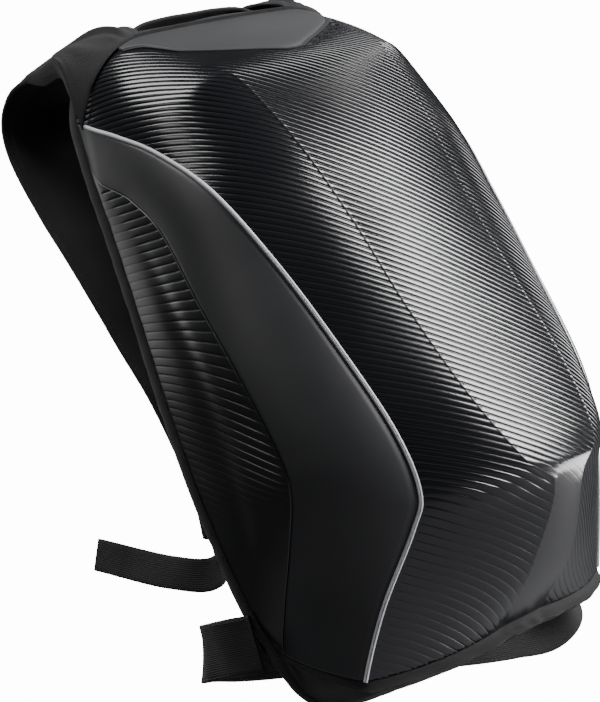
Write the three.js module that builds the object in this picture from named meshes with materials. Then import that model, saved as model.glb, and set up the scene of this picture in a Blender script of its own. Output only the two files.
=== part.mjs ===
// Hard shell backpack: a moulded ribbed shell with smooth side panels on a padded fabric back,
// with padded shoulder straps, free webbing tails and a webbing hip belt.
// Millimetres. +Z is up along the bag, the shell faces -Y and the wearer's back is at +Y.
// The origin is the middle of the back panel's rear face, where the wearer's back lies.

import * as THREE from "three";

// Shell
const shellHeight = 518;
const shellWidth = 330;
const shellDepth = 190;
const shellWall = 2.5;
const seamGap = 0.3;

// Welt between the main shell and each side panel
const pipingWidth = 2.6;
const pipingRise = 1.3;

// Smooth plate near the top of the shell
const patchThickness = 1.5;
const patchGap = 0.7;

// Fabric round the rim and over the top
const bindingWidth = 9;
const bindingWall = 3;
const bindingProud = 1;
const coverWall = 2.5;

// Back panel
const panelThickness = 20;
const panelEdgeRound = 7;

// Grab handle
const handleSpan = 168;
const handleRise = 9;
const handleWidth = 24;
const handleWall = 3;

// Shoulder straps
const strapWidth = 80;
const strapLowerWidth = 48;
const strapThickness = 12;
const strapReach = 74;
const strapSetOut = 97;
const strapOverRim = 1;

// Webbing
const webbingWidth = 25;
const webbingWall = 2;
const tailReach = 130;
const beltWidth = 42;
const beltWall = 2.8;
const beltReach = 62;
const lockWidth = 33;
const lockHeight = 20;
const lockThickness = 6;

// Facet counts
const stepsPerRow = 2;
const strapSteps = 30;
const beltSteps = 44;

const halfWidth = shellWidth / 2;
const halfHeight = shellHeight / 2;
const rimY = -panelThickness;

// The half shell hangs on six lines that run from the bottom rim to the top rim. The first two rows
// are the fabric bottom, and the hard shell's lower edge is at the third.
// Columns: across in % of half the width, out in % of the depth, up in % of half the height.
const centreLine = [
  [0, 0, -100], [0, 49, -97.5], [0, 52, -93], [0, 78, -79], [0, 98.5, -61],
  [0, 101.5, -51], [0, 95, -29.5], [0, 86, -2.5], [0, 79.5, 24.5], [0, 72, 49.5],
  [0, 61, 71.5], [0, 51, 80], [0, 34, 89], [0, 13.5, 99.8], [0, 0, 100.5],
];
const panelCrease = [
  [14, 0, -100], [14, 48, -97.5], [14, 51, -93], [14.2, 77, -79], [10, 98, -61],
  [24, 100, -51.5], [33, 93, -29.5], [36.2, 83.5, -2.5], [37.5, 75.5, 24.5], [42.5, 68.5, 49.5],
  [48, 58, 71.5], [50.3, 49.5, 79.5], [50, 33, 89], [47, 13.5, 99.3], [47, 0, 100.3],
];
const shoulderLine = [
  [44, 0, -99.5], [45, 45, -98], [45, 47.5, -94], [45, 65, -78], [41, 82, -62],
  [42, 91.5, -51], [49, 87, -29], [53, 78.5, -2], [57, 71, 25], [62.5, 63, 49.5],
  [71, 48.5, 70], [70.5, 41, 78.5], [67.5, 29.5, 88], [63, 13.5, 97], [62.5, 0, 98.5],
];
const pipingLine = [
  [76, 0, -96], [82, 31, -95.5], [83.5, 33, -91.5], [77, 49.5, -75], [65.4, 69, -58],
  [62, 76.5, -49], [64, 77.5, -31], [69.3, 70.3, -3], [75, 62, 22], [82, 51, 46],
  [85.5, 34.5, 62], [87.5, 20, 71], [88, 9, 76.5], [87.5, 3, 79.5], [87.3, 0, 81],
];
const sideCrease = [
  [84, 0, -90], [89.5, 6, -83], [90.4, 3, -77.5], [92.5, 14, -66.5], [95.2, 31, -51.5],
  [96, 43.8, -37.5], [96.4, 46, -26], [97, 42, -3], [95.3, 34.5, 19.5], [91.9, 26.5, 41.5],
  [90.9, 16.5, 53.5], [90.9, 9.5, 58.5], [90.8, 4, 61.8], [90.2, 1.5, 65], [89.5, 0, 68],
];
const rimLine = [
  [88, 0, -84], [90, 0, -79], [90.2, 0, -76], [95, 0, -66], [98, 0, -50],
  [99, 0, -38], [99.3, 0, -24], [97.7, 0, -1], [95, 0, 19], [92.3, 0, 40],
  [91.2, 0, 50.5], [90.8, 0, 56], [90.5, 0, 60], [90.3, 0, 62.5], [90, 0, 65],
];
const shellLines = [centreLine, panelCrease, shoulderLine, pipingLine, sideCrease, rimLine];

// One row for each span between two lines: facets across it, and its crown as a share of its width.
const spans = [
  { facets: 1, crown: 0.02 },
  { facets: 2, crown: 0.04 },
  { facets: 2, crown: 0.05 },
  { facets: 3, crown: 0.09 },
  { facets: 2, crown: 0.03 },
];

const colours = {
  shell: 0x17181a,
  panel: 0x2c2d2f,
  piping: 0xa4a4a6,
  patch: 0x3a3c3e,
  fabric: 0x1b1b1c,
  webbing: 0x161617,
  plastic: 0x101011,
};

const backpack = new THREE.Group();

function addPiece(name, geometry, colour, roughness) {
  const material = new THREE.MeshStandardMaterial({ color: colour, roughness, metalness: 0 });
  const mesh = new THREE.Mesh(geometry, material);
  mesh.name = name;
  backpack.add(mesh);
}

// A closed body from its corners and triangles, turned so that its faces point out.
function closedBody(points, triangles) {
  let volume = 0;
  const side = new THREE.Vector3();
  for (const [a, b, c] of triangles) {
    volume += points[a].dot(side.crossVectors(points[b], points[c]));
  }
  const order = volume > 0 ? triangles : triangles.map(([a, b, c]) => [a, c, b]);
  const geometry = new THREE.BufferGeometry();
  geometry.setAttribute("position", new THREE.Float32BufferAttribute(points.flatMap((p) => p.toArray()), 3));
  geometry.setIndex(order.flat());
  return geometry;
}

// A sheet body between two grids of points of the same size.
function sheetBody(outer, inner) {
  const rows = outer.length;
  const columns = outer[0].length;
  const points = [...outer.flat(), ...inner.flat()];
  const face = (row, column) => row * columns + column;
  const back = rows * columns;
  const triangles = [];
  const quad = (a, b, c, d) => triangles.push([a, b, c], [a, c, d]);
  for (let row = 0; row < rows - 1; row += 1) {
    for (let column = 0; column < columns - 1; column += 1) {
      const corners = [
        face(row, column), face(row, column + 1), face(row + 1, column + 1), face(row + 1, column),
      ];
      quad(...corners);
      quad(...corners.map((corner) => corner + back).reverse());
    }
  }
  const border = [];
  for (let column = 0; column < columns - 1; column += 1) border.push(face(0, column));
  for (let row = 0; row < rows - 1; row += 1) border.push(face(row, columns - 1));
  for (let column = columns - 1; column > 0; column -= 1) border.push(face(rows - 1, column));
  for (let row = rows - 1; row > 0; row -= 1) border.push(face(row, 0));
  border.forEach((corner, index) => {
    const next = border[(index + 1) % border.length];
    quad(next, corner, corner + back, next + back);
  });
  return closedBody(points, triangles);
}

// A body through sections of equal corner counts: a closed ring, or a bar with flat ends.
function sectionBody(sections, isRing = false) {
  const corners = sections[0].length;
  const points = sections.flat();
  const triangles = [];
  const last = isRing ? sections.length : sections.length - 1;
  for (let section = 0; section < last; section += 1) {
    const here = section * corners;
    const there = ((section + 1) % sections.length) * corners;
    for (let corner = 0; corner < corners; corner += 1) {
      const next = (corner + 1) % corners;
      triangles.push([here + corner, here + next, there + next]);
      triangles.push([here + corner, there + next, there + corner]);
    }
  }
  if (!isRing) {
    const end = (sections.length - 1) * corners;
    for (let corner = 1; corner < corners - 1; corner += 1) {
      triangles.push([0, corner + 1, corner], [end, end + corner, end + corner + 1]);
    }
  }
  return closedBody(points, triangles);
}

const mirrored = (point) => new THREE.Vector3(-point.x, point.y, point.z);
const mirroredGrid = (grid) => grid.map((row) => row.map(mirrored));

// A piece on the left and its mirror image on the right, from sections or from two grids.
function addSectionPair(name, sections, colour, roughness) {
  addPiece(`${name}_left`, sectionBody(sections), colour, roughness);
  addPiece(`${name}_right`, sectionBody(mirroredGrid(sections)), colour, roughness);
}

function addSheetPair(name, outer, inner, colour, roughness) {
  addPiece(`${name}_left`, sheetBody(outer, inner), colour, roughness);
  addPiece(`${name}_right`, sheetBody(mirroredGrid(outer), mirroredGrid(inner)), colour, roughness);
}

// A point `step` along the way from `from` to `to`.
function along(from, to, step) {
  return from.clone().add(to.clone().sub(from).setLength(step));
}

// The shell's surface, row by row from the bottom rim to the top rim, from the left rim to the right.

function linePoint(line, at) {
  const curve = new THREE.CatmullRomCurve3(
    line.map(([across, out, up]) => new THREE.Vector3(
      (-across / 100) * halfWidth,
      rimY - (out / 100) * shellDepth,
      (up / 100) * halfHeight,
    )),
    false,
    "catmullrom",
    0.5,
  );
  return curve.getPoint(at);
}

function crownedPoint(near, far, crown, share) {
  const point = near.clone().lerp(far, share);
  const lift = 4 * crown * share * (1 - share);
  point.x += lift * (near.y - far.y);
  point.y += lift * (far.x - near.x);
  return point;
}

function halfRow(at) {
  const knots = shellLines.map((line) => linePoint(line, at));
  const row = [knots[0]];
  spans.forEach(({ facets, crown }, span) => {
    for (let facet = 1; facet <= facets; facet += 1) {
      row.push(crownedPoint(knots[span], knots[span + 1], crown, facet / facets));
    }
  });
  return row;
}

const rowCount = (centreLine.length - 1) * stepsPerRow;
const halfFacets = spans.reduce((sum, { facets }) => sum + facets, 0);
const skin = [];
for (let row = 0; row <= rowCount; row += 1) {
  const half = halfRow(row / rowCount);
  skin.push([...half.slice(1).reverse(), ...half.map(mirrored)]);
}

// Column of a line, counted from the middle outwards on the left side.
function lineColumn(line) {
  const facets = spans.slice(0, line).reduce((sum, span) => sum + span.facets, 0);
  return halfFacets - facets;
}
const columnCount = 2 * halfFacets;
const creaseColumn = lineColumn(1);
const pipingColumn = lineColumn(3);
const sideColumn = lineColumn(4);

const skinNormals = skin.map((points, row) => points.map((point, column) => {
  const above = skin[Math.min(row + 1, rowCount)][column];
  const below = skin[Math.max(row - 1, 0)][column];
  const left = points[Math.max(column - 1, 0)];
  const right = points[Math.min(column + 1, columnCount)];
  const up = above.clone().sub(below);
  const across = right.clone().sub(left);
  return across.cross(up).normalize();
}));

// A point held in front of the rim's plane.
function heldAtRim(point) {
  point.y = Math.min(point.y, rimY);
  return point;
}

function raised(row, column, height) {
  return heldAtRim(skin[row][column].clone().addScaledVector(skinNormals[row][column], height));
}

// The shell's skin between two columns and two rows, raised by a height and drawn in at its edges.
function skinGrid(columns, rows, height, drawnIn) {
  const grid = [];
  for (let row = rows[0]; row <= rows[1]; row += 1) {
    const line = [];
    for (let column = columns[0]; column <= columns[1]; column += 1) line.push(raised(row, column, height));
    if (drawnIn.left) line[0] = along(line[0], line[1], drawnIn.left);
    if (drawnIn.right) line[line.length - 1] = along(line.at(-1), line.at(-2), drawnIn.right);
    grid.push(line);
  }
  return grid;
}

const edgeRow = 2 * stepsPerRow;
const shellRows = [edgeRow, rowCount];
const bottomRows = [0, edgeRow];
const besidePiping = pipingWidth / 2 + seamGap;

function addShell() {
  const columns = [pipingColumn, columnCount - pipingColumn];
  const drawnIn = { left: besidePiping, right: besidePiping };
  const outer = skinGrid(columns, shellRows, 0, drawnIn);
  const inner = skinGrid(columns, shellRows, -shellWall, drawnIn);
  addPiece("main_shell", sheetBody(outer, inner), colours.shell, 0.35);
}

function addSidePanels() {
  const columns = [sideColumn, pipingColumn];
  const drawnIn = { left: seamGap, right: besidePiping };
  const outer = skinGrid(columns, shellRows, 0, drawnIn);
  const inner = skinGrid(columns, shellRows, -shellWall, drawnIn);
  addSheetPair("side_panel", outer, inner, colours.panel, 0.6);
}

function addSideInserts() {
  const outer = skinGrid([0, sideColumn], shellRows, 0, {});
  const inner = skinGrid([0, sideColumn], shellRows, -shellWall, {});
  addSheetPair("side_insert", outer, inner, colours.shell, 0.4);
}

function addPiping() {
  const halfPiping = pipingWidth / 2;
  const sections = [];
  for (let row = edgeRow; row <= rowCount; row += 1) {
    const high = [-1, 0, 1].map((step) => raised(row, pipingColumn + step, 0));
    const low = [-1, 0, 1].map((step) => raised(row, pipingColumn + step, -shellWall));
    sections.push([
      along(high[1], high[0], halfPiping),
      raised(row, pipingColumn, pipingRise),
      along(high[1], high[2], halfPiping),
      along(low[1], low[2], halfPiping),
      along(low[1], low[0], halfPiping),
    ]);
  }
  addSectionPair("piping", sections, colours.piping, 0.45);
}

// The fabric bottom closes the bag from the shell's lower edge back to the rim.
function addBottom() {
  const upper = skinGrid([0, columnCount], bottomRows, 0, {});
  const lower = skinGrid([0, columnCount], bottomRows, -coverWall, {});
  for (const grid of [upper, lower]) {
    const last = grid.length - 1;
    grid[last] = grid[last].map((point, column) => along(point, grid[last - 1][column], seamGap));
  }
  addPiece("fabric_bottom", sheetBody(upper, lower), colours.fabric, 0.85);
}

// The row of the skin where the fabric cover starts.
const coverRow = rowCount - stepsPerRow;
const shoulderColumn = lineColumn(2);

// The plate's lower edge in rows of the lines' tables, from the shoulder line to the middle.
const patchLowRows = [12.8, 12.55, 12.1, 11.1];
const patchTopRow = coverRow / stepsPerRow - 0.1;
const patchSteps = 6;

// A point over the skin at any row of the lines' tables.
function raisedAt(tableRow, column, height) {
  const at = tableRow * stepsPerRow;
  const row = Math.floor(at);
  return raised(row, column, height).lerp(raised(row + 1, column, height), at - row);
}

function patchGrid(height) {
  const lowRows = [...patchLowRows, ...patchLowRows.slice(0, -1).reverse()];
  const grid = [];
  for (let step = 0; step <= patchSteps; step += 1) {
    grid.push(lowRows.map((low, index) => {
      const tableRow = THREE.MathUtils.lerp(low, patchTopRow, step / patchSteps);
      return raisedAt(tableRow, shoulderColumn + index, height);
    }));
  }
  return grid;
}

function addTopPatch() {
  const body = sheetBody(patchGrid(patchGap + patchThickness), patchGrid(patchGap));
  addPiece("top_patch", body, colours.patch, 0.55);
}

// The rim as a flat closed outline, counterclockwise as the wearer's back sees it.
function rimOutline() {
  const outline = [];
  for (let column = 0; column < columnCount; column += 1) outline.push(skin[0][column]);
  for (let row = 0; row < rowCount; row += 1) outline.push(skin[row][columnCount]);
  for (let column = columnCount; column > 0; column -= 1) outline.push(skin[rowCount][column]);
  for (let row = rowCount; row > 0; row -= 1) outline.push(skin[row][0]);
  return outline;
}
const rim = rimOutline();

// The rim's outline moved inwards by a distance, at a place along Y.
function rimAt(inset, y) {
  return rim.map((point, index) => {
    const before = rim[(index + rim.length - 1) % rim.length];
    const after = rim[(index + 1) % rim.length];
    const way = after.clone().sub(before).setY(0).normalize();
    return new THREE.Vector3(point.x - way.z * inset, y, point.z + way.x * inset);
  });
}

const bindingFront = rimY + seamGap;
const bindingBack = rimY + bindingWidth;

function addRimBinding() {
  const outside = [rimAt(-bindingProud, bindingFront), rimAt(-bindingProud, bindingBack)];
  const inside = [
    rimAt(bindingWall - bindingProud, bindingFront),
    rimAt(bindingWall - bindingProud, bindingBack),
  ];
  const sections = rim.map((_, index) => [
    outside[0][index], outside[1][index], inside[1][index], inside[0][index],
  ]);
  addPiece("rim_binding", sectionBody(sections, true), colours.fabric, 0.85);
}

function addBackPanel() {
  const inset = bindingWall - bindingProud + seamGap;
  const rings = [
    rimAt(inset, bindingFront),
    rimAt(inset, -panelEdgeRound),
    rimAt(inset + panelEdgeRound * 0.3, -panelEdgeRound * 0.3),
    rimAt(inset + panelEdgeRound, 0),
  ];
  addPiece("back_panel", sectionBody(rings), colours.fabric, 0.9);
}

// Fabric over the top: it lies on the shell's top edge, the binding and the panel's edge.
// The middle of it is the top band, and its ends are the yokes that carry the straps.
const coverLift = bindingProud + seamGap;
const coverBack = -1;

function coverLine(column) {
  const rimPoint = skin[rowCount][column];
  const outward = skinNormals[rowCount][column].clone().setY(0).normalize();
  const overShell = [];
  for (let row = coverRow; row < rowCount; row += 1) overShell.push(raised(row, column, coverLift));
  const atRim = raised(rowCount, column, 0).addScaledVector(outward, coverLift);
  const overBinding = atRim.clone().setY(bindingBack);
  const atBack = atRim.clone().setY(coverBack);
  return { points: [...overShell, atRim, overBinding, atBack], outward };
}

function coverGrids(columns) {
  const lower = [];
  const upper = [];
  for (let column = columns[0]; column <= columns[1]; column += 1) {
    const { points, outward } = coverLine(column);
    lower.push(points);
    upper.push(points.map((point, index) => {
      const isOverShell = index < rowCount - coverRow;
      const lift = isOverShell ? skinNormals[coverRow + index][column] : outward;
      return point.clone().addScaledVector(lift, coverWall);
    }));
  }
  return { lower, upper };
}

function addTopCover() {
  const band = coverGrids([creaseColumn, columnCount - creaseColumn]);
  addPiece("top_band", sheetBody(band.upper, band.lower), colours.fabric, 0.85);
  const yoke = coverGrids([pipingColumn + 1, creaseColumn]);
  for (const grid of [yoke.lower, yoke.upper]) {
    const last = grid.length - 1;
    grid[last] = grid[last].map((point, index) => along(point, grid[last - 1][index], seamGap));
  }
  addSheetPair("yoke", yoke.upper, yoke.lower, colours.fabric, 0.85);
}

// Straps and webbing: a section carried along a smooth route.

// Stations of a route with the way it runs, and the side direction of the band there.
function routeStations(points, count, sideAt) {
  const curve = new THREE.CatmullRomCurve3(points, false, "centripetal");
  const stations = [];
  for (let step = 0; step <= count; step += 1) {
    const at = step / count;
    const way = curve.getTangent(at);
    const side = sideAt(at).clone();
    side.addScaledVector(way, -side.dot(way)).normalize();
    stations.push({ at, middle: curve.getPoint(at), side, face: way.clone().cross(side).normalize() });
  }
  return stations;
}

function bandSections(stations, widthAt, thickness, edge) {
  const halfThickness = thickness / 2;
  return stations.map(({ at, middle, side, face }) => {
    const halfBand = widthAt(at) / 2;
    const shape = edge
      ? [
        [-halfBand, -halfThickness + edge], [-halfBand + edge, -halfThickness],
        [halfBand - edge, -halfThickness], [halfBand, -halfThickness + edge],
        [halfBand, halfThickness - edge], [halfBand - edge, halfThickness],
        [-halfBand + edge, halfThickness], [-halfBand, halfThickness - edge],
      ]
      : [
        [-halfBand, -halfThickness], [halfBand, -halfThickness],
        [halfBand, halfThickness], [-halfBand, halfThickness],
      ];
    return shape.map(([sideways, out]) => middle.clone()
      .addScaledVector(side, sideways)
      .addScaledVector(face, out));
  });
}

const acrossBag = new THREE.Vector3(1, 0, 0);
const topOfRim = skin[rowCount][shoulderColumn].z;

// The strap's outer edge lies lower than its inner one where it leaves the bag.
const strapRootSide = new THREE.Vector3(1, 0, 0.14);
const strapOnPanel = strapThickness / 2 + seamGap;

// Route of a shoulder strap. Columns: out sideways in % of the set-out, back in % of the reach,
// up in % of half the height.
const strapRoute = [
  [103, 18, 102], [105, 46, 101], [105, 68, 96.5], [105, 80, 90.5], [105, 84, 82],
  [105, 72, 63], [106, 58, 50], [108, 42, 32], [110, 34, 20], [114, 18, 3],
  [118, 10, -12], [123, 3, -27], [132, 1, -42],
];

function strapStations() {
  const points = strapRoute.map(([out, back, up]) => new THREE.Vector3(
    (-out / 100) * strapSetOut,
    strapOnPanel + (back / 100) * strapReach,
    (up / 100) * halfHeight,
  ));
  const rootHeight = topOfRim + strapOverRim + strapThickness / 2;
  const start = new THREE.Vector3(points[0].x, coverBack + 4 * seamGap, rootHeight);
  return routeStations([start, ...points], strapSteps, (at) => (
    strapRootSide.clone().lerp(acrossBag, THREE.MathUtils.smoothstep(at, 0.1, 0.35))
  ));
}
const leftStrap = strapStations();
const strapEnd = leftStrap.at(-1).middle;

function addShoulderStraps() {
  const { lerp, smoothstep } = THREE.MathUtils;
  const widthAt = (at) => lerp(strapWidth, strapLowerWidth, smoothstep(at, 0.5, 1));
  const sections = bandSections(leftStrap, widthAt, strapThickness, strapThickness / 3);
  addSectionPair("shoulder_strap", sections, colours.fabric, 0.85);
}

// A plain ladder lock at the strap's end, turned as the strap is there.
const strapFoot = leftStrap.at(-1);
const footWay = strapFoot.face.clone().cross(strapFoot.side).normalize();
if (footWay.z > 0) footWay.negate();
const lockMiddle = strapFoot.middle.clone().addScaledVector(footWay, seamGap + lockHeight / 2);

function addLadderLocks() {
  const outline = new THREE.Shape([
    new THREE.Vector2(-lockWidth / 2, -lockHeight / 2), new THREE.Vector2(lockWidth / 2, -lockHeight / 2),
    new THREE.Vector2(lockWidth / 2, lockHeight / 2), new THREE.Vector2(-lockWidth / 2, lockHeight / 2),
  ]);
  for (const [name, side] of [["ladder_lock_left", 1], ["ladder_lock_right", -1]]) {
    const geometry = new THREE.ExtrudeGeometry(outline, { depth: lockThickness, bevelEnabled: false });
    geometry.translate(0, 0, -lockThickness / 2);
    geometry.rotateX(Math.PI / 2);
    geometry.rotateY(side * Math.atan2(-footWay.x, -footWay.z));
    geometry.translate(side * lockMiddle.x, lockMiddle.y, lockMiddle.z);
    addPiece(name, geometry, colours.plastic, 0.5);
  }
}

// Webbing from the lock down to the lower corner of the panel, and the free tail out of the lock.
const webbingOnPanel = webbingWall / 2 + seamGap;
const lockFoot = lockMiddle.clone().addScaledVector(footWay, lockHeight / 2 + 2 * seamGap);
const lockRear = lockMiddle.y + lockThickness / 2 + 3 * seamGap + webbingWall / 2;

function addLowerWebbing() {
  const points = [
    lockFoot,
    lockFoot.clone().addScaledVector(footWay, lockHeight / 3),
    new THREE.Vector3(-halfWidth * 0.81, webbingOnPanel + strapOnPanel / 3, -halfHeight * 0.64),
    new THREE.Vector3(-halfWidth * 0.79, webbingOnPanel, -halfHeight * 0.75),
  ];
  const stations = routeStations(points, 10, () => acrossBag);
  const sections = bandSections(stations, () => webbingWidth, webbingWall, 0);
  addSectionPair("lower_webbing", sections, colours.webbing, 0.8);
}

// The tail leaves the lock flat, turns on edge and stands out behind.
const tailEdge = new THREE.Vector3(0.36, -0.36, 0.86);

function addTails() {
  const root = new THREE.Vector3(lockMiddle.x, lockRear, lockMiddle.z + lockHeight / 4);
  const points = [
    root,
    new THREE.Vector3(root.x - 1, root.y + webbingWall, root.z - lockHeight / 2),
    new THREE.Vector3(root.x - 5, root.y + tailReach * 0.16, root.z - lockHeight * 0.8),
    new THREE.Vector3(root.x - 11, root.y + tailReach * 0.42, root.z - lockHeight * 0.25),
    new THREE.Vector3(root.x - 12, root.y + tailReach, root.z + lockHeight * 1.4),
  ];
  const stations = routeStations(points, 18, (at) => (
    acrossBag.clone().lerp(tailEdge, THREE.MathUtils.smoothstep(at, 0.08, 0.45))
  ));
  const sections = bandSections(stations, () => webbingWidth, webbingWall, 0);
  addSectionPair("webbing_tail", sections, colours.webbing, 0.8);
}

// The hip belt is one loop from the rim's lower left to its lower right, slack behind the bag.
// Columns: across in % of half the width, back in % of the reach, up in % of half the height.
const beltRoute = [
  [-97.5, -26, -72], [-99.2, 7, -71], [-98.5, 40, -70.5], [-95, 74, -70.5], [-87, 96, -71.5],
  [-70, 100, -75], [-42, 86, -80], [0, 74, -88], [42, 58, -97], [76, 30, -103], [95, 2, -105],
  [105, -32, -98], [103, -38, -87], [96, -27, -76],
];
const upBag = new THREE.Vector3(0, 0, 1);
const leantBack = new THREE.Vector3(0, -0.5, 0.87);
const backOfBag = new THREE.Vector3(0, -1, 0.15);

// The belt's upper edge leans towards the bag at the slack loop, and turns to it at the right end.
function beltSide(at) {
  const { smoothstep } = THREE.MathUtils;
  const lean = smoothstep(at, 0.08, 0.25) * (1 - smoothstep(at, 0.35, 0.5));
  return upBag.clone().lerp(leantBack, lean).lerp(backOfBag, smoothstep(at, 0.7, 0.92));
}

function addHipBelt() {
  const points = beltRoute.map(([across, back, up]) => new THREE.Vector3(
    (across / 100) * halfWidth,
    (back / 100) * beltReach,
    (up / 100) * halfHeight,
  ));
  const stations = routeStations(points, beltSteps, beltSide);
  const sections = bandSections(stations, () => beltWidth, beltWall, 0);
  addPiece("hip_belt", sectionBody(sections), colours.webbing, 0.8);
}

// A webbing handle over the top band, sewn down at both ends.
const rimUnderHandle = skin[rowCount][creaseColumn].z;
const handleSeat = rimUnderHandle + coverLift + coverWall + 2 * seamGap + handleWall / 2;
const handleY = coverBack - handleWidth / 2;
const alongBag = new THREE.Vector3(0, 1, 0);

function addGrabHandle() {
  const halfSpan = handleSpan / 2;
  const points = [
    [-1, 0], [-0.86, 0], [-0.62, 0.75], [-0.3, 1], [0, 1], [0.3, 1], [0.62, 0.75], [0.86, 0], [1, 0],
  ].map(([across, rise]) => new THREE.Vector3(across * halfSpan, handleY, handleSeat + rise * handleRise));
  const sections = bandSections(
    routeStations(points, 24, () => alongBag),
    () => handleWidth,
    handleWall,
    0,
  );
  addPiece("grab_handle", sectionBody(sections), colours.webbing, 0.8);
}

addShell();
addSidePanels();
addSideInserts();
addPiping();
addTopPatch();
addBottom();
addRimBinding();
addBackPanel();
addTopCover();
addShoulderStraps();
addLadderLocks();
addLowerWebbing();
addTails();
addHipBelt();
addGrabHandle();

export default backpack;
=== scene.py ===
"""Looks of the hard shell backpack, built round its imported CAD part. Metres, +Z up, shell faces -Y."""

import math

import bpy
import numpy as np
from mathutils import Matrix, Vector


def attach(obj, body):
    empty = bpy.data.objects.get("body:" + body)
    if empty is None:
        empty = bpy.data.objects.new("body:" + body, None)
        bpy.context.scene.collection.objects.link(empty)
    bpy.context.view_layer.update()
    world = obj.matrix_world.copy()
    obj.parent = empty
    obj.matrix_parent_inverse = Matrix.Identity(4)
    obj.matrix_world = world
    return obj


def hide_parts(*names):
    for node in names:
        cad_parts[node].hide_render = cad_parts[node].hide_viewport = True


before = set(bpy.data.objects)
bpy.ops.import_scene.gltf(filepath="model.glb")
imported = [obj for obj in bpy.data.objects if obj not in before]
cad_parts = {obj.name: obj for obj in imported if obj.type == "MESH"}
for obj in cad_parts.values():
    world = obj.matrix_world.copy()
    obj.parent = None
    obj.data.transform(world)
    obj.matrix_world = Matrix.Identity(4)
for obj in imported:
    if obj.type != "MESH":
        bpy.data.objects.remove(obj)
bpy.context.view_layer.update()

MM = 0.001

# Sizes of the shell
HALF_WIDTH = 165 * MM
HALF_HEIGHT = 259 * MM
DEPTH = 190 * MM
RIM_Y = -20 * MM
WALL = 2.5 * MM
COVER_LIFT = 1.3 * MM
COVER_WALL = 2.5 * MM

# Lines of the half shell, from the bottom rim to the top rim.
# Columns: across in % of half the width, out in % of the depth, up in % of half the height.
CENTRE_LINE = [
    (0, 0, -100), (0, 49, -97.5), (0, 52, -93), (0, 78, -79), (0, 98.5, -61),
    (0, 101.5, -51), (0, 95, -29.5), (0, 86, -2.5), (0, 79.5, 24.5), (0, 72, 49.5),
    (0, 61, 71.5), (0, 51, 80), (0, 34, 89), (0, 13.5, 99.8), (0, 0, 100.5),
]
PANEL_CREASE = [
    (14, 0, -100), (14, 48, -97.5), (14, 51, -93), (14.2, 77, -79), (10, 98, -61),
    (24, 100, -51.5), (33, 93, -29.5), (36.2, 83.5, -2.5), (37.5, 75.5, 24.5), (42.5, 68.5, 49.5),
    (48, 58, 71.5), (50.3, 49.5, 79.5), (50, 33, 89), (47, 13.5, 99.3), (47, 0, 100.3),
]
SHOULDER_LINE = [
    (44, 0, -99.5), (45, 45, -98), (45, 47.5, -94), (45, 65, -78), (41, 82, -62),
    (42, 91.5, -51), (49, 87, -29), (53, 78.5, -2), (57, 71, 25), (62.5, 63, 49.5),
    (71, 48.5, 70), (70.5, 41, 78.5), (67.5, 29.5, 88), (63, 13.5, 97), (62.5, 0, 98.5),
]
PIPING_LINE = [
    (76, 0, -96), (82, 31, -95.5), (83.5, 33, -91.5), (77, 49.5, -75), (65.4, 69, -58),
    (62, 76.5, -49), (64, 77.5, -31), (69.3, 70.3, -3), (75, 62, 22), (82, 51, 46),
    (85.5, 34.5, 62), (87.5, 20, 71), (88, 9, 76.5), (87.5, 3, 79.5), (87.3, 0, 81),
]
SIDE_CREASE = [
    (84, 0, -90), (89.5, 6, -83), (90.4, 3, -77.5), (92.5, 14, -66.5), (95.2, 31, -51.5),
    (96, 43.8, -37.5), (96.4, 46, -26), (97, 42, -3), (95.3, 34.5, 19.5), (91.9, 26.5, 41.5),
    (90.9, 16.5, 53.5), (90.9, 9.5, 58.5), (90.8, 4, 61.8), (90.2, 1.5, 65), (89.5, 0, 68),
]
RIM_LINE = [
    (88, 0, -84), (90, 0, -79), (90.2, 0, -76), (95, 0, -66), (98, 0, -50),
    (99, 0, -38), (99.3, 0, -24), (97.7, 0, -1), (95, 0, 19), (92.3, 0, 40),
    (91.2, 0, 50.5), (90.8, 0, 56), (90.5, 0, 60), (90.3, 0, 62.5), (90, 0, 65),
]
SIDE_CROWN = 0.09
INSERT_CROWN = 0.03
EDGE_ROW = 2
TOP_ROW = 14
COVER_ROW = 13
PIPING_PLACE = 3
SIDE_PLACE = 4
RIM_PLACE = 5


def smooth_between(value, low, high):
    """0 below `low`, 1 above `high` and a smooth step between them."""
    share = np.clip((np.asarray(value, float) - low) / (high - low), 0, 1)
    return share * share * (3 - 2 * share)


def line_points(table, rows):
    """Points of one line of the half shell at any rows, on the left side."""
    points = np.array(table, float) / 100 * (-HALF_WIDTH, -DEPTH, HALF_HEIGHT) + (0, RIM_Y, 0)
    ends = (2 * points[:1] - points[1:2], points, 2 * points[-1:] - points[-2:-1])
    points = np.vstack(ends)
    index = np.clip(np.floor(rows).astype(int), 0, len(table) - 2)
    t = (rows - index)[:, None]
    p0, p1, p2, p3 = (points[index + step] for step in range(4))
    return p1 + 0.5 * t * (p2 - p0 + t * (2 * p0 - 5 * p1 + 4 * p2 - p3 + t * (3 * (p1 - p2) + p3 - p0)))


def crowned(near, far, share, crown):
    """Points across a panel between two lines, bowed out by a share of the panel's width."""
    lift = 4 * crown * share * (1 - share)
    points = near + (far - near) * share
    points[:, 0] += lift[:, 0] * (near[:, 1] - far[:, 1])
    points[:, 1] += lift[:, 0] * (far[:, 0] - near[:, 0])
    return points


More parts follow.
